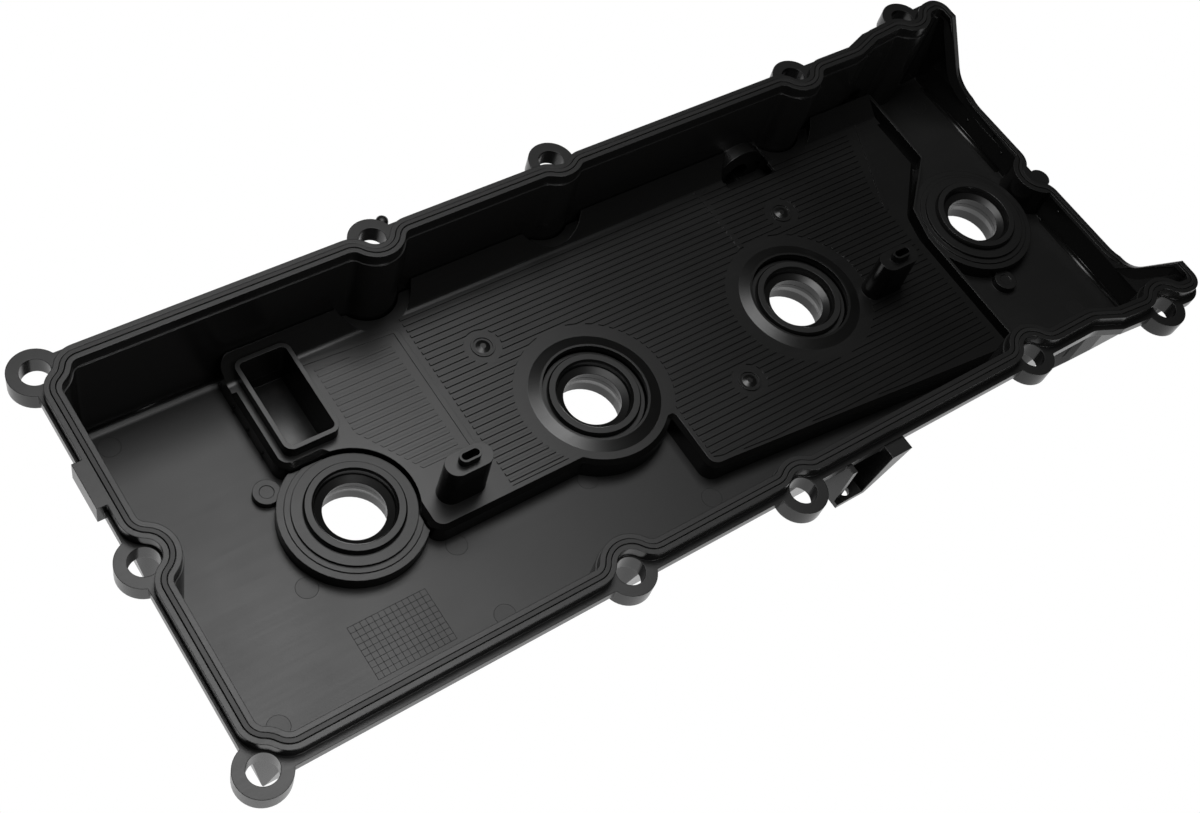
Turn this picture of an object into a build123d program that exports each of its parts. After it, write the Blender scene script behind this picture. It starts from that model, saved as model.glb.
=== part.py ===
from build123d import *
import os
from math import cos, sin, tan, atan2, radians, degrees, hypot

os.makedirs("parts", exist_ok=True)

# Levels, drawn with zero at the top of the plug tube seals and +Z out of the open side.
# The pieces are stored with zero on the collar faces that the cover rests on
rim_z = 39.7
ledge_drop = 5.0
lip_thick = 4.0
groove_deep = 4.6
floor_z = -10.5
roof_z = -13.5
rest_z = -20.0
to_frame = Pos(0, 0, -rest_z)
ledge_z = rim_z - ledge_drop
lug_tall = 7.6

# Rim path in plan and the strips that follow it
left_x = -81.35
side_y = 79.1
jog_x1 = 297.0
jog_x2 = 310.0
jog_short = 4.1
jog_round = 14.0
tip_x = 354.9
tip_y = 88.6
far_tip_y = 87.6
tip_round = 4.2
crease_y = 77.3
bulge_x = 364.4
far_bulge_x = 362.8
bulge_y = 52.0
rim_half = 3.0
groove_half = 1.05
bead_half = 0.8
bead_proud = 0.3
wall_in = 3.6
flange_out = 5.6
flange_trim_left = 1.5
end_narrow = 0.72

# Arched end
arch_z = 5.5
arch_y = 58.0
arch_round = 22.0
arch_x = 349.0
arch_slope = degrees(atan2(rim_z - arch_z, crease_y - arch_y))

# Walls of the housing
wall_thick = 3.0
wall_reach = 1.0
near_foot_y = 73.0
wide_foot_y = 77.0
end_lean = 9.0
end_wall = 4.2
left_foot_x = -76.0
slope_top_z = 28.0

# Bolts
bolt_r = 5.4
lug_r = 9.7
detour_r = 9.0
detour_blend = 7.0
end_boss = (365.5, 3.5)
end_boss_r = 5.0
end_boss_out = 2.8
bolts = [
    (-82.3, 80.0),
    (-82.3, -1.0),
    (-82.3, -80.8),
    (58.8, -80.8),
    (135.4, -85.0),
    (262.2, -81.0),
    (335.5, -90.1),
    (335.5, 89.2),
    (262.2, 81.0),
    (135.4, 85.0),
    (50.2, 81.0),
]

# Plug tubes
plug_pitch = 108.0
plug_x = [0.0, plug_pitch, 2 * plug_pitch, 3 * plug_pitch]
seal_r = 19.0
seal_seat_z = -9.0
throat_r = 13.0
throat_z = -11.0
coil_bore_r = 14.3
coil_bore_z = -15.0
collar_r = 22.0
boss_steps = [(28.4, -4.0), (25.6, -3.4), (23.3, -2.2)]
mid_tube_r = 20.9
coil_reach = 32.8
coil_boss_r = 5.2
coil_boss_z = -7.3
coil_foot_r = 7.0
insert_r = 3.6
insert_deep = 9.0
insert_bore_r = 2.5
coil_angles = [135.5, 135.5, 135.5, -100.6]
coil_mark_r = 2.7
mark_deep = 0.3

# Baffle plate
plate_gap = 0.5
plate_thick = 2.5
plate_bevel = 1.8
skirt_thick = 2.0
plate_foot_z = floor_z + 0.05
plate_far_y = 75.0
ramp_y = 66.0
ramp_rise = 7.0
tube_gap = 0.9
tube_clear_r = boss_steps[2][0] + tube_gap
end_clear_r = boss_steps[0][0] + tube_gap
mid_clear_r = mid_tube_r + plate_gap
collar_out_r = mid_clear_r + 5.6
collar_top_r = mid_clear_r + 1.0
collar_rise = 1.3
rib_rise = 0.5
faint_rise = 0.2
rib_wide = 1.3
rib_pitch = 2.9
pillar_clear_r = detour_r + wall_in + 0.8
pocket_r = 18.0

# Breather port on the far side
port_x = 236.0
port_z = -6.0
port_r = 14.0
port_bore_r = 6.0
nipple_r = 8.5
nipple_y = 98.0

# Small features of the shell
tab_y0 = 20.7
tab_y1 = 39.3
roof_rib_wide = 2.4
roof_rib_deep = 4.0
roof_rib_y = [-15.2, 12.8]
roof_rib_x0 = -60.0
roof_rib_x1 = 344.0
fence_thick = 1.6
fence_top = -1.2
bracket_x0 = 158.0
bracket_x1 = 171.0
bracket_y = 90.4
bracket_z = 10.0
bracket_thick = 2.4
bracket_hole_r = 2.2
fin_long = 12.0

# Small features of the plate
plate_left_x = -17.1
lobe_r = 32.0
chimney_x = -1.3
chimney_y = 49.7
chimney_long_x = 23.0
chimney_long_y = 43.5
chimney_wall = 1.8
chimney_rise = 5.5
chimney_deep = -17.0
post_spots = [(38.3, -11.3), (254.0, -11.8)]
post_long = 20.4
post_wide = 10.8
post_top = 21.0
post_draft = 1.2
tip_tall = 3.5
tip_long = 9.0
tip_wide = 4.8
tip_slot_long = 7.2
tip_slot_wide = 2.9
stake_r = 4.9
stake_rise = 0.5
stake_spots = [(79.4, 38.4), (237.0, 40.0), (169.5, -24.2)]
rib_x0 = 56.0
rib_top_y = 65.0
crease_wide = 2.4
crease_rise = 0.35


def rim_side(d, tip, bulge):
    # One long side of the rim path, moved outwards by d
    e = end_narrow * d
    return [
        (left_x - d, side_y + d),
        (jog_x1, side_y + d),
        (jog_x2, tip - jog_short + d),
        (tip_x + e, tip + d),
        (tip_x + e, crease_y),
        (bulge + e, bulge_y),
    ]


def rim_points(d):
    near = [(x, -y) for x, y in rim_side(d, tip_y, bulge_x)]
    return rim_side(d, far_tip_y, far_bulge_x) + near[::-1]


def rim_face(d, detours=True):
    # Closed plan of the rim path, moved outwards by d
    with BuildSketch() as plan:
        with BuildLine():
            Polyline(*rim_points(d), close=True)
        make_face()
        jogs = [v for v in plan.vertices() if abs(v.X - jog_x1) < 0.1]
        fillet(jogs, jog_round - d)
        if detours:
            with Locations(*bolts, end_boss):
                Circle(detour_r - d, mode=Mode.SUBTRACT)
            meets = [v for v in plan.vertices() if near_bolt(v, detour_r - d)]
            fillet(meets, detour_blend + d)
        outer = [v for v in plan.vertices() if abs(v.Y) > crease_y + 4]
        tips = [v for v in outer if abs(v.X - tip_x - end_narrow * d) < 0.1]
        fillet(tips, tip_round + 0.9 * d)
    return plan.sketch


def near_bolt(v, r):
    return min(hypot(v.X - x, v.Y - y) for x, y in bolts + [end_boss]) < r + 0.01


def arch_profile(t):
    # Region above the rim surface lowered by t, in the YZ plane
    shift = t * tan(radians(arch_slope / 2))
    with BuildSketch(Plane.YZ.offset(arch_x)) as s:
        with BuildLine():
            Polyline(
                (-140, rim_z - t),
                (-crease_y - shift, rim_z - t),
                (-arch_y - shift, arch_z - t),
                (arch_y + shift, arch_z - t),
                (crease_y + shift, rim_z - t),
                (140, rim_z - t),
                (140, 90),
                (-140, 90),
                close=True,
            )
        make_face()
        fillet([v for v in s.vertices() if v.Y < arch_z - t + 0.1 and abs(v.X) < 100], arch_round + t)
    return s.sketch


def over(t):
    # Everything above the rim surface lowered by t
    return block(-150, arch_x, -140, 140, rim_z - t, 90) + extrude(arch_profile(t), 60)


def prism(plane, points, rounds, length):
    # A polygon with some corners rounded, drawn on a plane and run along it
    with BuildSketch(plane) as s:
        with BuildLine():
            Polyline(*points, close=True)
        make_face()
        for (a, b), r in rounds:
            fillet([v for v in s.vertices() if hypot(v.X - a, v.Y - b) < 0.1], r)
    return extrude(s.sketch, length)


def slab(face, z0, z1):
    return Pos(0, 0, z0) * extrude(face, z1 - z0)


def section_body(base_z, inset, far_round, near_round):
    # Sloping near side and left end, upright far side, wider past the jog
    y0 = side_y + wall_reach - inset
    y1 = near_foot_y - inset
    narrow = prism(
        Plane.YZ.offset(-120),
        [(-y0, 60), (-y0, slope_top_z), (-y1, base_z), (y0, base_z), (y0, 60)],
        [((-y1, base_z), near_round), ((y0, base_z), far_round)],
        424,
    )
    w0 = tip_y + wall_reach - inset
    w1 = wide_foot_y - inset
    wide = prism(
        Plane.YZ.offset(304),
        [(-w0, 60), (-w0, slope_top_z), (-w1, base_z), (w0, base_z), (w0, 60)],
        [((-w1, base_z), near_round), ((w0, base_z), far_round)],
        100,
    )
    lx = left_x - wall_reach + inset
    bx = left_foot_x + inset
    along = prism(
        Plane.XZ.offset(-140),
        [(lx, 60), (lx, slope_top_z), (bx, base_z), (400, base_z), (400, 60)],
        [((bx, base_z), near_round)],
        280,
    )
    return (narrow + wide) & along


def rod(r, z0, z1, x, y):
    return Pos(x, y, (z0 + z1) / 2) * Cylinder(r, z1 - z0)


def coil_spot(i):
    a = radians(coil_angles[i])
    return plug_x[i] + coil_reach * cos(a), coil_reach * sin(a)


def at_y(r, y0, y1, x, z):
    # A rod that runs along Y
    return Pos(x, (y0 + y1) / 2, z) * Rot(90, 0, 0) * Cylinder(r, y1 - y0)


def block(x0, x1, y0, y1, z0, z1):
    return Pos((x0 + x1) / 2, (y0 + y1) / 2, (z0 + z1) / 2) * Box(x1 - x0, y1 - y0, z1 - z0)


def rounded(points, rounds, arcs=()):
    # Closed plan with some corners rounded, then joined with some discs
    with BuildSketch() as s:
        with BuildLine():
            Polyline(*points, close=True)
        make_face()
        for (x, y), r in rounds:
            fillet([v for v in s.vertices() if hypot(v.X - x, v.Y - y) < 0.1], r)
        for x, y, r in arcs:
            with Locations((x, y)):
                Circle(r)
    return s.sketch


def end_body(x, z0):
    # The room behind the arched end: upright to the arch, then leaning in towards the tips
    return prism(
        Plane.XZ.offset(-150),
        [(jog_x2 + 5, z0), (x, z0), (x, arch_z - 2), (x - end_lean, rim_z), (jog_x2 + 5, rim_z)],
        [],
        300,
    )


# Plan of the baffle plate
plate_plan = rounded(
    [
        (plate_left_x, plate_far_y), (plate_left_x, 24.6), (0, 24.6), (20.4, 0), (20.4, -23.8), (108, -23.8),
        (130.3, -23.8), (130.3, -50.9), (140, -51.4), (289.5, -64.4), (289.5, 0), (292.5, 12), (315.7, 36),
        (315.7, plate_far_y),
    ],
    [
        ((plate_left_x, plate_far_y), 5), ((plate_left_x, 24.6), 6), ((20.4, -23.8), 6), ((130.3, -50.9), 6),
        ((289.5, -64.4), 3), ((289.5, 0), 12), ((292.5, 12), 8),
    ],
    [(plug_x[1], 0, lobe_r)],
)

# Shell solids made ahead of its block
pillars = [rod(detour_r + wall_in, -30, 60, x, y) for x, y in bolts + [end_boss]]
notches = [rod(detour_r, -30, 60, x, y) for x, y in bolts + [end_boss]]
end_x = bulge_x + end_narrow * rim_half
end_shift = Pos(end_lean + rim_half, 0, 0)
end_plan = rim_face(0, False)
end_room_plan = rim_face(-wall_in, False)
end_out = (end_body(end_x, roof_z) & end_shift * slab(end_plan, roof_z, ledge_z)) - notches
end_in = (end_body(end_x - end_wall, floor_z) & end_shift * slab(end_room_plan, -30, 60)) - pillars
walls = (slab(rim_face(0), roof_z, ledge_z) + end_out) & section_body(roof_z, 0, 6, 9)
flange = slab(rim_face(flange_out, False), roof_z, rim_z) & block(
    left_x - flange_out + flange_trim_left, 400, -120, 120, roof_z, rim_z
)
for x, y in bolts:
    flange = flange + rod(lug_r, roof_z, rim_z, x, y)
flange = flange & over(ledge_drop + lip_thick)
lugs = [rod(lug_r, ledge_z - lug_tall, ledge_z, x, y) for x, y in bolts]
above_rim = over(0)
outside_rim = over(ledge_drop) - slab(rim_face(rim_half), -30, 100)
cavity_low = (slab(rim_face(-wall_in), floor_z, ledge_z) + end_in) & section_body(floor_z, wall_thick, 5, 6)
cavity_top = slab(rim_face(-rim_half), ledge_z - 0.01, 80)
groove = (slab(rim_face(groove_half), -30, 100) - slab(rim_face(-groove_half), -30, 100)) & over(groove_deep)
bolt_holes = [rod(bolt_r, ledge_z - lug_tall - 1, ledge_z + 1, x, y) for x, y in bolts]

# Locating boss on the arched end, tab on the left end
end_post = rod(end_boss_r, roof_z, arch_z - 2.5, end_boss[0] + end_boss_out, end_boss[1] - 1.0)
end_tab = block(-88.0, left_x - 1, tab_y0, tab_y1, ledge_z - lip_thick, rim_z)

# Plug tubes and coil screw bosses
plate_shadow = slab(offset(plate_plan, amount=plate_gap), floor_z, 20)
tube_adds = []
tube_cuts = []
for i, x in enumerate(plug_x):
    steps = boss_steps if i in (0, 3) else [(mid_tube_r, boss_steps[2][1])]
    for r, top in steps:
        ring = rod(r, floor_z - 1, top, x, 0)
        if i == 0 and r > boss_steps[2][0]:
            ring = ring - plate_shadow
        tube_adds.append(ring)
    tube_adds.append(rod(collar_r, rest_z, roof_z + 1, x, 0))
    tube_cuts.append(rod(seal_r, seal_seat_z, 5, x, 0))
    tube_cuts.append(rod(throat_r, rest_z - 1, seal_seat_z + 1, x, 0))
    flare = Cone(coil_bore_r, throat_r, throat_z - coil_bore_z)
    tube_cuts.append(Pos(x, 0, (throat_z + coil_bore_z) / 2) * flare)
    tube_cuts.append(rod(coil_bore_r, rest_z - 1, coil_bore_z, x, 0))
    cx, cy = coil_spot(i)
    tube_adds.append(rod(coil_foot_r, rest_z, roof_z + 1, cx, cy))
    tube_adds.append(rod(coil_boss_r, floor_z - 1, coil_boss_z, cx, cy))
    tube_cuts.append(rod(insert_r, rest_z - 1, rest_z + insert_deep, cx, cy))
    tube_cuts.append(rod(coil_mark_r, coil_boss_z - mark_deep, coil_boss_z + 1, cx, cy))

# Roof ribs outside
roof_ribs = [
    block(roof_rib_x0, roof_rib_x1, y, y + roof_rib_wide, roof_z - roof_rib_deep, roof_z + 1)
    for y in roof_rib_y
]

# Thin upright rib beside the plate's right edge
fence_line = [(322.5, 79.0), (322.3, 38.0), (298.0, 16.0), (293.6, 0.0), (293.6, -70.0)]
fence_back = [(x + fence_thick, y) for x, y in reversed(fence_line)]
fence = slab(rounded(fence_line + fence_back, []), floor_z - 1, fence_top)
fence = fence - rod(tube_clear_r, -30, 30, plug_x[3], 0)

# Well under the chimney of the oil separator
well_x0 = chimney_x - chimney_long_x / 2
well_x1 = chimney_x + chimney_long_x / 2
well_y0 = chimney_y - chimney_long_y / 2
well_y1 = chimney_y + chimney_long_y / 2
well_wall = block(well_x0, well_x1, well_y0, well_y1, rest_z + 0.5, roof_z + 1)
well_room = block(
    well_x0 + chimney_wall, well_x1 - chimney_wall, well_y0 + chimney_wall, well_y1 - chimney_wall,
    chimney_deep, floor_z + 1
)

# Breather port
port_wall = at_y(port_r, plate_far_y - 5, side_y - 1, port_x, port_z)
nipple = at_y(nipple_r, side_y - 1, nipple_y, port_x, port_z)
port_cut = at_y(port_bore_r, plate_far_y - 6, nipple_y + 1, port_x, port_z)

# Bracket on the near side
shelf = block(bracket_x0, bracket_x1, -bracket_y, -near_foot_y, bracket_z, bracket_z + bracket_thick)
fin_shape = [
    (bracket_x1, bracket_z), (bracket_x1 + 2, bracket_z), (bracket_x1 + fin_long + 4, ledge_z - 1),
    (bracket_x1 + fin_long - 6, ledge_z - 1), (bracket_x1, bracket_z + bracket_thick),
]
fins = [
    prism(Plane.XZ.offset(near_foot_y + 3), fin_shape, [], bracket_y - near_foot_y - 3),
    block(bracket_x0, bracket_x0 + bracket_thick, 2 - bracket_y, -near_foot_y, bracket_z, ledge_z - 1),
]
hole_spot = (bracket_x0 + 6.5, 3.8 - bracket_y)
shelf_hole = rod(bracket_hole_r, bracket_z - 1, bracket_z + bracket_thick + 1, *hole_spot)

with BuildPart() as cover_shell:
    add(walls)
    add(flange)
    add(lugs)
    add(end_post)
    add(above_rim, mode=Mode.SUBTRACT)
    add(outside_rim, mode=Mode.SUBTRACT)
    add(end_tab)
    add(shelf)
    add(fins)
    add(nipple)
    # Cavity
    add(cavity_low, mode=Mode.SUBTRACT)
    add(cavity_top, mode=Mode.SUBTRACT)
    add(groove, mode=Mode.SUBTRACT)
    add(bolt_holes, mode=Mode.SUBTRACT)
    # What stands on the roof, inside and outside
    add(fence)
    add(port_wall)
    add(tube_adds)
    add(roof_ribs)
    add(well_wall)
    add(well_room, mode=Mode.SUBTRACT)
    add(tube_cuts, mode=Mode.SUBTRACT)
    add(port_cut, mode=Mode.SUBTRACT)
    add(shelf_hole, mode=Mode.SUBTRACT)
cover_shell.part.label = "cover_shell"
export_step(to_frame * cover_shell.part, "parts/cover_shell.step")

# Gasket bead
bead_plan = slab(rim_face(bead_half), -30, 100) - slab(rim_face(-bead_half), -30, 100)
bead = (bead_plan & over(groove_deep)) - over(-bead_proud)

with BuildPart() as rim_gasket:
    add(bead)
rim_gasket.part.label = "rim_gasket"
export_step(to_frame * rim_gasket.part, "parts/rim_gasket.step")

# Baffle plate solids made ahead of its block
plate_solid = slab(plate_plan, plate_foot_z, ramp_rise)
inside_plan = offset(plate_plan, amount=-skirt_thick, kind=Kind.INTERSECTION)
plate_inside = slab(inside_plan, plate_foot_z - 1, -plate_thick)
plate_section = prism(
    Plane.YZ.offset(-40),
    [(-90, -20), (-90, 0), (ramp_y, 0), (plate_far_y, ramp_rise), (plate_far_y, -20)],
    [((ramp_y, 0), 4)],
    400,
)
end_rings = [rod(tube_clear_r, -30, 30, plug_x[0], 0), rod(end_clear_r, -30, 30, plug_x[3], 0)]
mid_rings = [rod(mid_clear_r, -30, 30, x, 0) for x in plug_x[1:3]]
mid_skirts = [rod(mid_clear_r + skirt_thick, plate_foot_z, 0, x, 0) for x in plug_x[1:3]]
end_skirt = rod(tube_clear_r + skirt_thick, plate_foot_z, 0, plug_x[0], 0) & slab(plate_plan, -30, 30)
collars = [Pos(x, 0, collar_rise / 2) * Cone(collar_out_r, collar_top_r, collar_rise) for x in plug_x[1:3]]
bevel_plan = slab(offset(plate_plan, amount=3), -plate_bevel, 1)
bevel_body = Pos(0, 0, -plate_bevel) * extrude(plate_plan, plate_bevel + 1, taper=45)
bevel_cut = (bevel_plan - bevel_body) & block(-60, 400, -90, ramp_y - 4, -plate_bevel, 1)
pillar_spots = [(x, y) for x, y in bolts if y > 50 and 0 < x < 300]
pillar_skirts = [rod(pillar_clear_r + skirt_thick, plate_foot_z, 0, x, y) for x, y in pillar_spots]
pillar_cuts = [rod(pillar_clear_r, -30, 30, x, y) for x, y in pillar_spots]
pocket_cuts = [rod(pocket_r, 0, 30, x, y) for x, y in pillar_spots]
plate_room = slab(rim_face(-wall_in - plate_gap), plate_foot_z, 60) & section_body(
    floor_z, wall_thick + plate_gap, 5, 6
)
port_clear = at_y(port_r + 0.6, 60, 90, port_x, port_z)

# Chimney of the oil separator
chimney_plan = Pos(chimney_x, chimney_y) * RectangleRounded(chimney_long_x, chimney_long_y, 4)
chimney_hole = Pos(chimney_x, chimney_y) * RectangleRounded(
    chimney_long_x - 2 * chimney_wall, chimney_long_y - 2 * chimney_wall, 4 - chimney_wall
)
chimney = slab(chimney_plan, plate_foot_z, chimney_rise)
chimney_cut = slab(chimney_hole, plate_foot_z - 1, chimney_rise + 1)

# Drain posts, each with a slotted tip
posts = []
for x, y in post_spots:
    posts.append(Pos(x, y, -1) * extrude(SlotOverall(post_long, post_wide), post_top + 1, taper=post_draft))
    posts.append(Pos(x, y, post_top - 0.5) * extrude(SlotOverall(tip_long, tip_wide), tip_tall + 0.5))
tip_slot = extrude(SlotOverall(tip_slot_long, tip_slot_wide), 12)
post_cuts = [Pos(x, y, post_top - 6) * tip_slot for x, y in post_spots]

# Stake rings and the field of fine ribs
stakes = [rod(stake_r, -1, stake_rise, x, y) for x, y in stake_spots]
stake_cuts = [rod(stake_r - 0.9, 0, 2, x, y) for x, y in stake_spots]
stake_domes = [Pos(x, y, 0.3) * Cone(stake_r - 1.6, 1.2, 0.8) for x, y in stake_spots]

# Soft creases across the plate
creases = [
    block(50.8, 50.8 + crease_wide, 2, 60, -1, crease_rise),
    block(207, 207 + crease_wide, 32, ramp_y, -1, crease_rise),
    slab(rounded([(12, 61.3), (12, 63.3), (51, 61.2), (51, 59.2)], []), -1, crease_rise),
    slab(rounded([(283, 20), (285.4, 20), (305, 66), (302.6, 66)], []), -1, crease_rise),
]
rib_field = rounded(
    [
        (rib_x0, 27), (rib_x0, rib_top_y), (296, rib_top_y), (284, 30), (284, -60.5), (142, -48.5),
        (134, -46), (134, -20), (rib_x0, -20),
    ],
    [],
)
faint_field = rounded([(30, 2), (15, 27), (15, 58), (47, 56), (47, 2)], [])
rib_lines = [
    block(0, 300, y - rib_wide / 2, y + rib_wide / 2, -1, rib_rise)
    for y in [rib_top_y - 1.5 - rib_pitch * n for n in range(42)]
]
rib_body = rib_lines[0]
for line in rib_lines[1:]:
    rib_body = rib_body + line
rib_body = rib_body & (slab(rib_field, -2, 2) + slab(faint_field, -2, faint_rise))
rib_body = rib_body - [rod(lobe_r + 1, -5, 5, x, 0) for x in plug_x[1:3]]
rib_body = rib_body - [rod(stake_r + 3, -5, 5, x, y) for x, y in stake_spots]

with BuildPart() as baffle_plate:
    add(plate_solid)
    add(plate_section, mode=Mode.INTERSECT)
    add(plate_inside, mode=Mode.SUBTRACT)
    add(mid_skirts)
    add(end_skirt)
    add(pillar_skirts)
    add(bevel_cut, mode=Mode.SUBTRACT)
    add(collars)
    add(creases)
    add(chimney)
    add(posts)
    add(stakes)
    add(rib_body)
    add(chimney_cut, mode=Mode.SUBTRACT)
    add(post_cuts, mode=Mode.SUBTRACT)
    add(stake_cuts, mode=Mode.SUBTRACT)
    add(stake_domes)
    add(end_rings, mode=Mode.SUBTRACT)
    add(mid_rings, mode=Mode.SUBTRACT)
    add(pillar_cuts, mode=Mode.SUBTRACT)
    add(pocket_cuts, mode=Mode.SUBTRACT)
    add(port_clear, mode=Mode.SUBTRACT)
    add(plate_room, mode=Mode.INTERSECT)
baffle_plate.part.label = "baffle_plate"
export_step(to_frame * baffle_plate.part, "parts/baffle_plate.step")

# Plug tube seals
seal_outline = [
    (throat_r, seal_seat_z), (seal_r, seal_seat_z), (seal_r, -0.9), (18.4, 0), (15.9, 0), (15.2, -0.9),
    (14.7, -3.2), (11.9, -4.5), (11.9, -5.1), (throat_r, -6.0),
]
seals = []
for i, x in enumerate(plug_x):
    name = "plug_seal_%d" % (i + 1)
    with BuildPart() as plug_seal:
        with BuildSketch(Plane.XZ):
            with BuildLine():
                Polyline(*seal_outline, close=True)
            make_face()
        revolve(axis=Axis.Z)
    seal = to_frame * Pos(x, 0, 0) * plug_seal.part
    seal.label = name
    export_step(seal, "parts/%s.step" % name)

# Brass inserts for the coil screws
for i, x in enumerate(plug_x):
    name = "coil_insert_%d" % (i + 1)
    cx, cy = coil_spot(i)
    with BuildPart() as coil_insert:
        with BuildSketch(Plane.XY.offset(rest_z)):
            with Locations((cx, cy)):
                Circle(insert_r)
                Circle(insert_bore_r, mode=Mode.SUBTRACT)
        extrude(amount=insert_deep - 1.0)
    insert = to_frame * coil_insert.part
    insert.label = name
    export_step(insert, "parts/%s.step" % name)
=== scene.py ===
import math

import bmesh
import bpy
from mathutils import Matrix, Vector


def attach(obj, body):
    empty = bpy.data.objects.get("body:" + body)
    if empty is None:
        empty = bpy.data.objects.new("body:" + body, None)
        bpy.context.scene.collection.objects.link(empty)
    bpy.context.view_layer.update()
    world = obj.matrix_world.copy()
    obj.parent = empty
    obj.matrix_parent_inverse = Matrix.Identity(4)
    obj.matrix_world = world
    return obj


# %% [markdown]
# # A valve cover, dressed over its CAD model
# The CAD model already has every moulded form: the shell, the ribbed plate, the posts, the seals,
# the gasket bead and the brass inserts. What is left for this script is what a mould and a tool
# leave on such a part: the fine square grid in the floor, ejector pin marks, small pips, threads,
# and the satin black of glass filled nylon. All lengths are metres, in the CAD model's own frame,
# and the lists of places are millimetres.

# %% Load the frame
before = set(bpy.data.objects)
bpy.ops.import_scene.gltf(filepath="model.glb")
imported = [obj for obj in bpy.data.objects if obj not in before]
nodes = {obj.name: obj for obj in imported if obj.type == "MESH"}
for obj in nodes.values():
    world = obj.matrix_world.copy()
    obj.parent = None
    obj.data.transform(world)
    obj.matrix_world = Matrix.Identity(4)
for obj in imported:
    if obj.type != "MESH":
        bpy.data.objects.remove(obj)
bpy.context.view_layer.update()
MM = 0.001
print("nodes", len(nodes))

# Height in millimetres of the inner floor, above the collar faces that the cover rests on
FLOOR_MM = 9.5

# %% [markdown]
# ## Materials
# Glass filled nylon is a dark plastic with a broad sheen. Its resin skin is a little uneven where
# it flowed, so roughness wanders slowly over centimetres, long streaks follow the flow along the
# cover, and a fine grain from the mould breaks up the highlight. A Bevel node rounds the edges in
# shading only, which gives the thin bright lines that real moulded edges have. Every pattern is
# tied to object coordinates, so it stays on the part from any view.


# %% Material helpers
def new_material(name, colour, metal=0.0):
    mat = bpy.data.materials.new(name)
    mat.use_nodes = True
    shader = mat.node_tree.nodes["Principled BSDF"]
    shader.inputs["Base Color"].default_value = (*colour, 1)
    shader.inputs["Metallic"].default_value = metal
    return mat, mat.node_tree, shader


def maths(tree, operation, *values):
    """A math node whose values are numbers or the outputs of other nodes"""
    made = tree.nodes.new("ShaderNodeMath")
    made.operation = operation
    for socket, value in zip(made.inputs, values):
        if isinstance(value, bpy.types.NodeSocket):
            tree.links.new(value, socket)
        else:
            socket.default_value = value
    return made.outputs[0]


def noise(nt, scale, detail, stretch=(1, 1, 1)):
    """A noise in object coordinates, stretched along the axes that have a small factor"""
    place = nt.nodes.new("ShaderNodeTexCoord")
    turn = nt.nodes.new("ShaderNodeMapping")
    turn.inputs["Scale"].default_value = stretch
    field = nt.nodes.new("ShaderNodeTexNoise")
    field.inputs["Scale"].default_value = scale
    field.inputs["Detail"].default_value = detail
    nt.links.new(place.outputs["Object"], turn.inputs["Vector"])
    nt.links.new(turn.outputs["Vector"], field.inputs["Vector"])
    return field.outputs["Fac"]


def ranged(nt, value, given, wanted):
    """Maps a value from one range to another, and clamps it there"""
    span = nt.nodes.new("ShaderNodeMapRange")
    for label, end in zip(("From Min", "From Max", "To Min", "To Max"), (*given, *wanted)):
        span.inputs[label].default_value = end
    nt.links.new(value, span.inputs["Value"])
    return span.outputs["Result"]


# %% [markdown]
# ## The black plastics and rubbers
# On this cover the faces that were polished least are the flat ones, so they look grey and soft,
# while the walls mirror the room. One material does both: the way a face looks decides how rough
# it is. The roof side is outside, below the inner floor, and gets the gloss of the walls.

# %% A black moulded plastic
NOISE_RANGE = (0.3, 0.7)
UPRIGHT = (0.85, 0.98)


def flat_or_wall(nt, flat, wall):
    """One value on the inner faces that look straight up, another on walls and in the wells"""
    shape = nt.nodes.new("ShaderNodeNewGeometry")
    facing = nt.nodes.new("ShaderNodeSeparateXYZ")
    nt.links.new(shape.outputs["True Normal"], facing.inputs["Vector"])
    place = nt.nodes.new("ShaderNodeTexCoord")
    level = nt.nodes.new("ShaderNodeSeparateXYZ")
    nt.links.new(place.outputs["Object"], level.inputs["Vector"])
    lying = maths(nt, "ABSOLUTE", facing.outputs["Z"])
    inside = maths(nt, "GREATER_THAN", level.outputs["Z"], (FLOOR_MM - 1) * MM)
    return ranged(nt, maths(nt, "MULTIPLY", lying, inside), UPRIGHT, (wall, flat))


def moulded(name, colour, flat, wall, wander, streak, grain, edge):
    """Roughness of flats and walls, how far it wanders, grain depth, and edge radius"""
    mat, nt, shader = new_material(name, colour)
    shader.inputs["Specular IOR Level"].default_value = 0.5
    cloud = ranged(nt, noise(nt, 30, 4), NOISE_RANGE, (-wander, wander))
    lines = ranged(nt, noise(nt, 900, 3, (0.03, 1, 1)), NOISE_RANGE, (-streak, streak))
    uneven = maths(nt, "ADD", maths(nt, "ADD", flat_or_wall(nt, flat, wall), cloud), lines)
    nt.links.new(uneven, shader.inputs["Roughness"])
    relief = nt.nodes.new("ShaderNodeBump")
    relief.inputs["Strength"].default_value = grain
    relief.inputs["Distance"].default_value = 0.04 * MM
    nt.links.new(noise(nt, 2400, 2), relief.inputs["Height"])
    rounding = nt.nodes.new("ShaderNodeBevel")
    rounding.samples = 6
    rounding.inputs["Radius"].default_value = edge * MM
    nt.links.new(rounding.outputs["Normal"], relief.inputs["Normal"])
    nt.links.new(relief.outputs["Normal"], shader.inputs["Normal"])
    print(name, "roughness", flat, "on flats and", wall, "on walls")
    return mat


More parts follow.
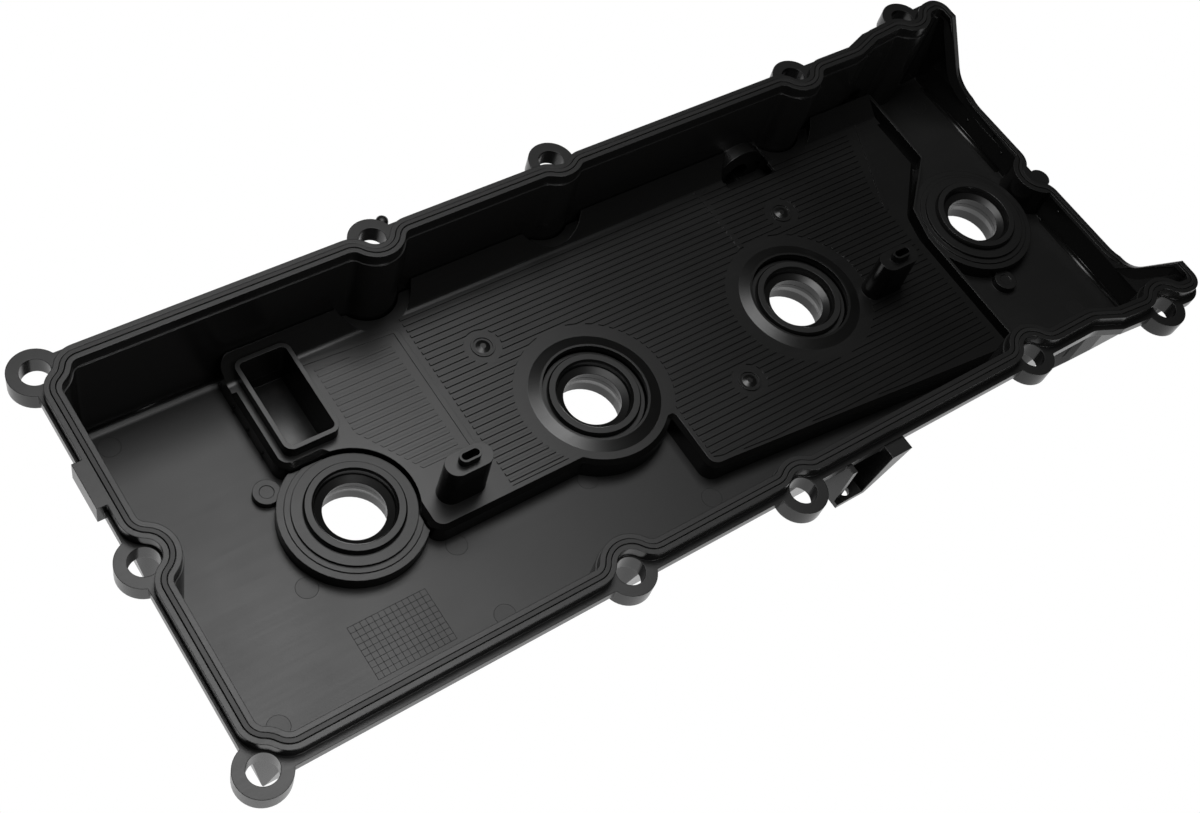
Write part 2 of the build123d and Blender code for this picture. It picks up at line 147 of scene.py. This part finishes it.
NYLON = (0.007, 0.007, 0.0068)
satin_shell = moulded(
    "satin_shell", NYLON, flat=0.42, wall=0.24, wander=0.02, streak=0.01, grain=0.4, edge=0.4)
satin_plate = moulded(
    "satin_plate", (0.006, 0.006, 0.0058),
    flat=0.32, wall=0.22, wander=0.02, streak=0.015, grain=0.15, edge=0.2)
matt_bead = moulded(
    "matt_bead", NYLON, flat=0.5, wall=0.45, wander=0.03, streak=0.0, grain=0.2, edge=0.3)
matt_seal = moulded(
    "matt_seal", (0.008, 0.008, 0.0078),
    flat=0.43, wall=0.24, wander=0.03, streak=0.0, grain=0.2, edge=0.3)
# Near black and matt: painted shade for the inside of cut lines and hairline gaps, put on raised
# marks
painted_groove_shade = moulded(
    "painted_groove_shade", (0.002, 0.002, 0.002),
    flat=0.75, wall=0.75, wander=0.03, streak=0.0, grain=0.2, edge=0.05)
pin_face = moulded(
    "pin_face", NYLON, flat=0.44, wall=0.4, wander=0.02, streak=0.0, grain=0.5, edge=0.1)

# %% [markdown]
# ## Brass
# The inserts are turned on a lathe, so the metal is bright but not a mirror: a noise that is
# squeezed along the axis stands in for the tool's fine rings.


# %% Turned brass for the inserts
def turned_brass():
    mat, nt, shader = new_material("turned_brass", (0.62, 0.43, 0.16), 1.0)
    rings = ranged(nt, noise(nt, 1500, 2, (1, 1, 4)), NOISE_RANGE, (0.22, 0.38))
    nt.links.new(rings, shader.inputs["Roughness"])
    return mat


brass = turned_brass()

# %% Give each CAD node its material
FINISHES = {
    "coil_insert": brass,
    "plug_seal": matt_seal,
    "rim_gasket": matt_bead,
    "baffle_plate": satin_plate,
    "cover_shell": satin_shell,
}
for name, part in nodes.items():
    finish = next(made for start, made in FINISHES.items() if name.startswith(start))
    part.data.materials.clear()
    part.data.materials.append(finish)
    print(name, "->", finish.name)

# %% [markdown]
# ## How the small marks are made
# Each kind of mark repeats, so each is a Geometry Nodes tree: a plain mesh of points says where the
# marks stand, the tree puts one shape on each point, and the sizes are inputs with names. The
# result is turned into a plain mesh straight away, because the export drops instances.


# %% Tree helpers
def new_tree(name, sizes):
    tree = bpy.data.node_groups.new(name, "GeometryNodeTree")
    sockets = tree.interface
    sockets.new_socket("Places", in_out="INPUT", socket_type="NodeSocketGeometry")
    for label, value in sizes.items():
        kind = "NodeSocketInt" if isinstance(value, int) else "NodeSocketFloat"
        sockets.new_socket(label, in_out="INPUT", socket_type=kind)
    sockets.new_socket("Marks", in_out="OUTPUT", socket_type="NodeSocketGeometry")
    return tree, tree.nodes.new("NodeGroupInput").outputs


def add_node(tree, kind, **inputs):
    """A node with its sockets set from numbers or linked from other sockets"""
    made = tree.nodes.new(kind)
    for label, value in inputs.items():
        socket = made.inputs[label.replace("_", " ")]
        if isinstance(value, bpy.types.NodeSocket):
            tree.links.new(value, socket)
        else:
            socket.default_value = value
    return made


def vector(tree, x=0.0, y=0.0, z=0.0):
    return add_node(tree, "ShaderNodeCombineXYZ", X=x, Y=y, Z=z).outputs[0]


def stand(tree, points, shape):
    """One shape on each point"""
    made = add_node(tree, "GeometryNodeInstanceOnPoints", Points=points, Instance=shape)
    return made.outputs[0]


def close_tree(tree, shape, finish):
    """Makes the instances real, gives them their material and ends the tree"""
    real = add_node(tree, "GeometryNodeRealizeInstances", Geometry=shape)
    painted = add_node(
        tree, "GeometryNodeSetMaterial", Geometry=real.outputs[0], Material=finish)
    tree.links.new(painted.outputs[0], tree.nodes.new("NodeGroupOutput").inputs[0])


def plain_piece(name, tree, sizes, places):
    """Runs a tree on points in millimetres and keeps the result as a plain mesh on the body"""
    mesh = bpy.data.meshes.new(name + "_places")
    mesh.from_pydata([Vector(p) * MM for p in places], [], [])
    piece = bpy.data.objects.new(name, mesh)
    bpy.context.scene.collection.objects.link(piece)
    mod = piece.modifiers.new("marks", "NODES")
    mod.node_group = tree
    for item in tree.interface.items_tree:
        if item.in_out == "INPUT" and item.name in sizes:
            mod[item.identifier] = sizes[item.name]
    view = bpy.context.evaluated_depsgraph_get()
    made = bpy.data.meshes.new_from_object(piece.evaluated_get(view), depsgraph=view)
    piece.modifiers.remove(mod)
    piece.data = made
    made.name = name
    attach(piece, "root")
    triangles = sum(len(face.vertices) - 2 for face in made.polygons)
    print(name, len(places), "places,", triangles, "triangles")


# %% [markdown]
# ## The grid on the floor
# A mould maker cuts a small table of squares in the floor to stamp the month of each batch. Its
# lines are a fifth of a millimetre wide. Two rows of thin bars make it: one bar per line, put on a
# line of points whose step is the size of a square. The bars stand a hair proud of the floor, and
# their near black matt colour is painted shade for the shadow inside the cut lines.

# %% Floor grid
GRID = {"Columns": 13, "Rows": 9, "Square": 2.49 * MM, "Line": 0.2 * MM, "Proud": 0.06 * MM}
GRID_CORNER = (-23.7, -36.9, FLOOR_MM)


def bars(tree, squares, step, size, start):
    """A row of bars, one on each side of every square"""
    count = maths(tree, "ADD", squares, 1)
    line = add_node(
        tree, "GeometryNodeMeshLine", Count=count, Start_Location=start, Offset=step)
    bar = add_node(tree, "GeometryNodeMeshCube", Size=size)
    return stand(tree, line.outputs[0], bar.outputs["Mesh"])


def grid_tree(sizes):
    tree, given = new_tree("floor_grid", sizes)
    square, line, proud = given["Square"], given["Line"], given["Proud"]
    wide = maths(tree, "MULTIPLY", given["Columns"], square)
    tall = maths(tree, "MULTIPLY", given["Rows"], square)
    across = bars(
        tree, given["Rows"],
        step=vector(tree, y=maths(tree, "MULTIPLY", square, -1)),
        size=vector(tree, wide, line, proud),
        start=vector(tree, x=maths(tree, "MULTIPLY", wide, 0.5)))
    down = bars(
        tree, given["Columns"],
        step=vector(tree, x=square),
        size=vector(tree, line, tall, proud),
        start=vector(tree, y=maths(tree, "MULTIPLY", tall, -0.5)))
    both = tree.nodes.new("GeometryNodeJoinGeometry")
    for row in (across, down):
        tree.links.new(row, both.inputs["Geometry"])
    close_tree(tree, stand(tree, given["Places"], both.outputs[0]), painted_groove_shade)
    return tree


plain_piece("floor_grid", grid_tree(GRID), GRID, [GRID_CORNER])

# %% [markdown]
# ## Ejector pin marks
# Steel pins push the part out of its mould and leave flat round faces with a hairline edge. Each
# mark is a very thin disc with its own finish and a fine raised ring round it, whose near black
# matt colour is painted shade for the hairline gap at the pin's edge.

# %% Pin marks
PIN = {"Radius": 4.2 * MM, "Line": 0.16 * MM, "Proud": 0.03 * MM}
PIN_PLACES = [(x, y, FLOOR_MM) for x, y in [
    (-63.6, 66.9), (-28.4, -16.5), (28.3, -27.3), (88.6, -27.3), (29.1, -59.9), (-61.8, -57.3),
    (128.6, -57.3), (351.5, 68.2), (341.5, -58.0),
]]


def disc_tree(sizes):
    tree, given = new_tree("pin_faces", sizes)
    disc = add_node(
        tree, "GeometryNodeMeshCylinder", Vertices=48, Radius=given["Radius"],
        Depth=given["Proud"])
    close_tree(tree, stand(tree, given["Places"], disc.outputs["Mesh"]), pin_face)
    return tree


def ring_tree(sizes):
    tree, given = new_tree("pin_rings", sizes)
    circle = add_node(
        tree, "GeometryNodeCurvePrimitiveCircle", Resolution=64, Radius=given["Radius"])
    hair = add_node(
        tree, "GeometryNodeCurvePrimitiveCircle", Resolution=6,
        Radius=maths(tree, "MULTIPLY", given["Line"], 0.5))
    ring = add_node(
        tree, "GeometryNodeCurveToMesh", Curve=circle.outputs[0], Profile_Curve=hair.outputs[0])
    close_tree(tree, stand(tree, given["Places"], ring.outputs[0]), painted_groove_shade)
    return tree


plain_piece("pin_faces", disc_tree(PIN), PIN, PIN_PLACES)
plain_piece("pin_rings", ring_tree(PIN), PIN, PIN_PLACES)

# %% [markdown]
# ## Pips
# Small round pips are left where the mould was vented: a row of four on the left side of the
# plate, and a few along the wall of the arched end.

# %% Pips on the walls
PIP = {"Radius": 0.8 * MM}
PIP_STEP = 11.1
PIP_PLACES = [(-17.0, 38.3 + PIP_STEP * i, 12.6) for i in range(4)]
PIP_PLACES += [(362.5, 47.2, 17.1), (362.5, 23.2, 18.8), (362.5, -17.0, 20.6)]


def pip_tree(sizes):
    tree, given = new_tree("wall_pips", sizes)
    ball = add_node(
        tree, "GeometryNodeMeshIcoSphere", Radius=given["Radius"], Subdivisions=3)
    smooth = add_node(tree, "GeometryNodeSetShadeSmooth", Geometry=ball.outputs["Mesh"])
    close_tree(tree, stand(tree, given["Places"], smooth.outputs[0]), satin_plate)
    return tree


plain_piece("wall_pips", pip_tree(PIP), PIP, PIP_PLACES)

# %% [markdown]
# ## Threads in the brass inserts
# The coil screws turn into brass inserts under the cover. A spiral curve with a small three sided
# profile gives the thread's ridge, wound inside the bore of each insert.

# %% Insert threads
THREAD = {"Bore": 2.5 * MM, "Pitch": 1.0 * MM, "Ridge": 0.34 * MM, "Turns": 7}
THREAD_LOW = 0.5
PLUG_PITCH = 108.0
COIL_REACH = 32.8
COIL_ANGLES = [135.5, 135.5, 135.5, -100.6]
thread_places = []
for i, angle in enumerate(COIL_ANGLES):
    a = math.radians(angle)
    thread_places.append(
        (PLUG_PITCH * i + COIL_REACH * math.cos(a), COIL_REACH * math.sin(a), THREAD_LOW))


def thread_tree(sizes):
    tree, given = new_tree("insert_threads", sizes)
    spiral = add_node(
        tree, "GeometryNodeCurveSpiral", Resolution=40, Rotations=given["Turns"],
        Start_Radius=given["Bore"], End_Radius=given["Bore"],
        Height=maths(tree, "MULTIPLY", given["Turns"], given["Pitch"]))
    ridge = add_node(
        tree, "GeometryNodeCurvePrimitiveCircle", Resolution=3, Radius=given["Ridge"])
    coil = add_node(
        tree, "GeometryNodeCurveToMesh", Curve=spiral.outputs[0], Profile_Curve=ridge.outputs[0],
        Fill_Caps=True)
    close_tree(tree, stand(tree, given["Places"], coil.outputs[0]), brass)
    return tree


plain_piece("insert_threads", thread_tree(THREAD), THREAD, thread_places)

# %% [markdown]
# ## Small radii where the walls meet the floor
# A mould has no sharp inner corner: where a wall meets the floor there is a small hollow radius,
# and that is what draws the thin bright line along the foot of a glossy wall. Each is a straight
# bar whose section is the corner less a quarter circle, so mesh code sweeps it directly.

# %% Foot radii
FOOT_STEPS = 10
SINK = 0.05


def closed_piece(name, corners, faces, finish, smooth):
    """A closed mesh from corners in millimetres, with the faces that are asked for smoothed"""
    mesh = bpy.data.meshes.new(name)
    mesh.from_pydata([Vector(c) * MM for c in corners], [], faces)
    side = bmesh.new()
    side.from_mesh(mesh)
    bmesh.ops.recalc_face_normals(side, faces=side.faces)
    side.to_mesh(mesh)
    side.free()
    for face in mesh.polygons:
        face.use_smooth = smooth(face)
    mesh.materials.append(finish)
    piece = bpy.data.objects.new(name, mesh)
    bpy.context.scene.collection.objects.link(piece)
    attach(piece, "root")
    print(name, len(mesh.polygons), "faces")


def foot_radius(name, start, end, inward, radius):
    """A hollow radius from start to end along the foot of a wall"""
    section = [(-SINK, -SINK), (radius, -SINK)]
    for i in range(1, FOOT_STEPS):
        t = math.pi / 2 * i / FOOT_STEPS
        section.append((radius * (1 - math.sin(t)), radius * (1 - math.cos(t))))
    section.append((-SINK, radius))
    corners = [
        Vector((*spot, FLOOR_MM)) + Vector((*inward, 0)) * u + Vector((0, 0, v))
        for spot in (start, end) for u, v in section]
    n = len(section)
    ends = [tuple(range(n)), tuple(range(2 * n - 1, n - 1, -1))]
    sides = [(i, n + i, n + (i + 1) % n, (i + 1) % n) for i in range(n)]
    closed_piece(name, corners, ends + sides, satin_shell, lambda face: len(face.vertices) == 4)


END_WALL_X = 362.36
foot_radius("foot_far_wall", (-70.0, 75.5), (-17.4, 75.5), (0, -1), 2.2)
foot_radius("foot_end_far", (END_WALL_X, 77.0), (END_WALL_X, 19.5), (-1, 0), 2.0)
foot_radius("foot_end_near", (END_WALL_X, -12.5), (END_WALL_X, -71.0), (-1, 0), 2.0)

# %% [markdown]
# ## The step in the near wall
# Towards the arched end the near wall stands a little further out. The CAD model leaves a slit
# between the two planes of the wall, so a narrow web closes it, from the floor up to where the
# planes meet. It is lofted through three levels, because both planes lean.

# %% Wall step
STEP_X = (302.8, 305.2)
# Height, then the inner and outer edge of the web at that height
STEP_LEVELS = [(8.0, -72.4, -74.3), (23.0, -75.0, -79.2), (38.6, -77.7, -79.2)]


def wall_step(name, sides, levels):
    """A closed web between two x places, lofted through its levels"""
    left, right = sides
    corners = []
    for z, inner, outer in levels:
        corners += [(left, inner, z), (right, inner, z), (right, outer, z), (left, outer, z)]
    top = len(corners) - 4
    faces = [(3, 2, 1, 0), (top, top + 1, top + 2, top + 3)]
    for low in range(0, top, 4):
        for k in range(4):
            j = (k + 1) % 4
            faces.append((low + k, low + j, low + 4 + j, low + 4 + k))
    closed_piece(name, corners, faces, satin_shell, lambda face: False)


wall_step("near_wall_step", STEP_X, STEP_LEVELS)

# %% [markdown]
# ## The stub beside a far lug
# A short round stub stands beside the second far lug, where the plastic entered the mould. It is a
# lathe shape: an outline with a rounded top, turned about its own axis ring by ring.

# %% Gate stub
STUB = [(0, 54.6), (1.5, 54.4), (2.3, 53.6), (2.5, 52.6), (2.5, 47.0), (1.6, 45.4), (0, 45.2)]
STUB_SPOT = (58.6, 88.2)


def turned(name, outline, spot, finish, around=40):
    """A closed shape turned about a vertical axis, from an outline of radius and height"""
    corners, rings, faces = [], [], []
    for r, z in outline:
        count = around if r else 1
        rings.append([len(corners) + k % count for k in range(around)])
        for k in range(count):
            t = 2 * math.pi * k / around
            corners.append((spot[0] + r * math.cos(t), spot[1] + r * math.sin(t), z))
    for low, high in zip(rings, rings[1:]):
        for k in range(around):
            j = (k + 1) % around
            faces.append(tuple(dict.fromkeys([low[k], high[k], high[j], low[j]])))
    closed_piece(name, corners, faces, finish, lambda face: True)


turned("gate_stub", STUB, STUB_SPOT, satin_shell)

# %% [markdown]
# ## Stage
# The photograph shows the part cut out on white with no shadow. The floor is plain white to the
# camera and nearly so to reflections, so the satin sides of the part pick up a pale floor as they
# do on a white table, while all other light treats it as ordinary matt paint. The world is white to
# the camera too, and almost dark to the part.

# %% Floor and world
FLOOR_PAINT = (0.8, 0.8, 0.8)
FLOOR_DROP = 0.3 * MM
SEEN_IN_GLOSS = 0.9
SEEN_BY_CAMERA = 1.0
SKY = 0.02


def shown_to(nt, ray, usual, shown):
    """Shows one shader to a kind of ray, and the usual one to all the others"""
    rays = nt.nodes.new("ShaderNodeLightPath")
    mix = nt.nodes.new("ShaderNodeMixShader")
    nt.links.new(rays.outputs[ray], mix.inputs["Fac"])
    nt.links.new(usual, mix.inputs[1])
    nt.links.new(shown, mix.inputs[2])
    return mix.outputs["Shader"]


def white_floor():
    mat, nt, paint = new_material("floor_white", FLOOR_PAINT)
    paint.inputs["Roughness"].default_value = 0.9
    paint.inputs["Specular IOR Level"].default_value = 0.0
    look = paint.outputs["BSDF"]
    for ray, white in (("Is Glossy Ray", SEEN_IN_GLOSS), ("Is Camera Ray", SEEN_BY_CAMERA)):
        glow = nt.nodes.new("ShaderNodeEmission")
        glow.inputs["Color"].default_value = (white, white, white, 1)
        look = shown_to(nt, ray, look, glow.outputs["Emission"])
    nt.links.new(look, nt.nodes["Material Output"].inputs["Surface"])
    return mat


bpy.ops.mesh.primitive_plane_add(size=6, location=(0.14, 0, -FLOOR_DROP))
floor = bpy.context.object
floor.name = "floor"
floor.data.materials.append(white_floor())

world = bpy.data.worlds.new("studio")
bpy.context.scene.world = world
world.use_nodes = True
wt = world.node_tree
sky = wt.nodes["Background"]
sky.inputs["Color"].default_value = (1, 1, 1, 1)
sky.inputs["Strength"].default_value = SKY
seen = wt.nodes.new("ShaderNodeBackground")
seen.inputs["Color"].default_value = (1, 1, 1, 1)
look = shown_to(wt, "Is Camera Ray", sky.outputs["Background"], seen.outputs["Background"])
wt.links.new(look, wt.nodes["World Output"].inputs["Surface"])
print("floor in reflections", SEEN_IN_GLOSS, "sky", SKY)

# %% [markdown]
# ## Softboxes
# A shiny black part shows its lamps more than its colour, so their places decide the look. One
# large softbox hangs high behind the part, three small ones hang close above its left half, so the
# grey sheen falls off towards the right, and a low one in front only draws the outer sides and
# lugs.

# %% Softboxes
MIDDLE = Vector((0.14, 0, 0.02))
DOWN = Vector((0, 0, -1))


def softbox(name, place, wide, watts, aim=None):
    """A round softbox that faces a point, or straight down where no point is given"""
    lamp = bpy.data.lights.new(name, "AREA")
    lamp.shape = "DISK"
    lamp.size = wide
    lamp.energy = watts
    obj = bpy.data.objects.new(name, lamp)
    obj.location = place
    facing = DOWN if aim is None else aim - Vector(place)
    obj.rotation_euler = facing.to_track_quat("-Z", "Y").to_euler()
    bpy.context.scene.collection.objects.link(obj)
    print("softbox", name, place, watts, "W")


softbox("overhead_left", (0.386, 0.463, 1.318), 0.6, 3.5, MIDDLE)
softbox("near_overhead", (0.05, 0.10, 0.80), 0.3, 1.5)
softbox("near_back", (0.05, 0.35, 0.80), 0.3, 0.9)
softbox("near_front", (0.05, -0.12, 0.80), 0.3, 0.5)
softbox("front_low", (0.14, -1.369, 0.311), 0.6, 6.0, MIDDLE)

# %% [markdown]
# ## Camera
# A pinhole camera solved from the photograph: place, turn and lens come from the plug holes, the
# bolt holes and the flat rim, so a point of the model falls on the same pixel.

# %% Camera
CAM_PLACE = Vector((-0.17848, -0.21772, 0.53635))
CAM_RIGHT = Vector((0.8044, -0.5531, 0.2169))
CAM_DOWN = Vector((-0.3826, -0.7616, -0.523))
lens = bpy.data.cameras.new("camera")
lens.sensor_fit = "HORIZONTAL"
lens.sensor_width = 36
lens.lens = 47.84
camera = bpy.data.objects.new("camera", lens)
bpy.context.scene.collection.objects.link(camera)
right = CAM_RIGHT.normalized()
back = right.cross(-CAM_DOWN).normalized()
up = back.cross(right)
turn = Matrix((right, up, back)).transposed().to_4x4()
camera.matrix_world = Matrix.Translation(CAM_PLACE) @ turn
bpy.context.scene.camera = camera
bpy.context.scene.view_settings.view_transform = "Standard"
print("camera at", [round(v, 3) for v in CAM_PLACE], "lens", round(lens.lens, 2))
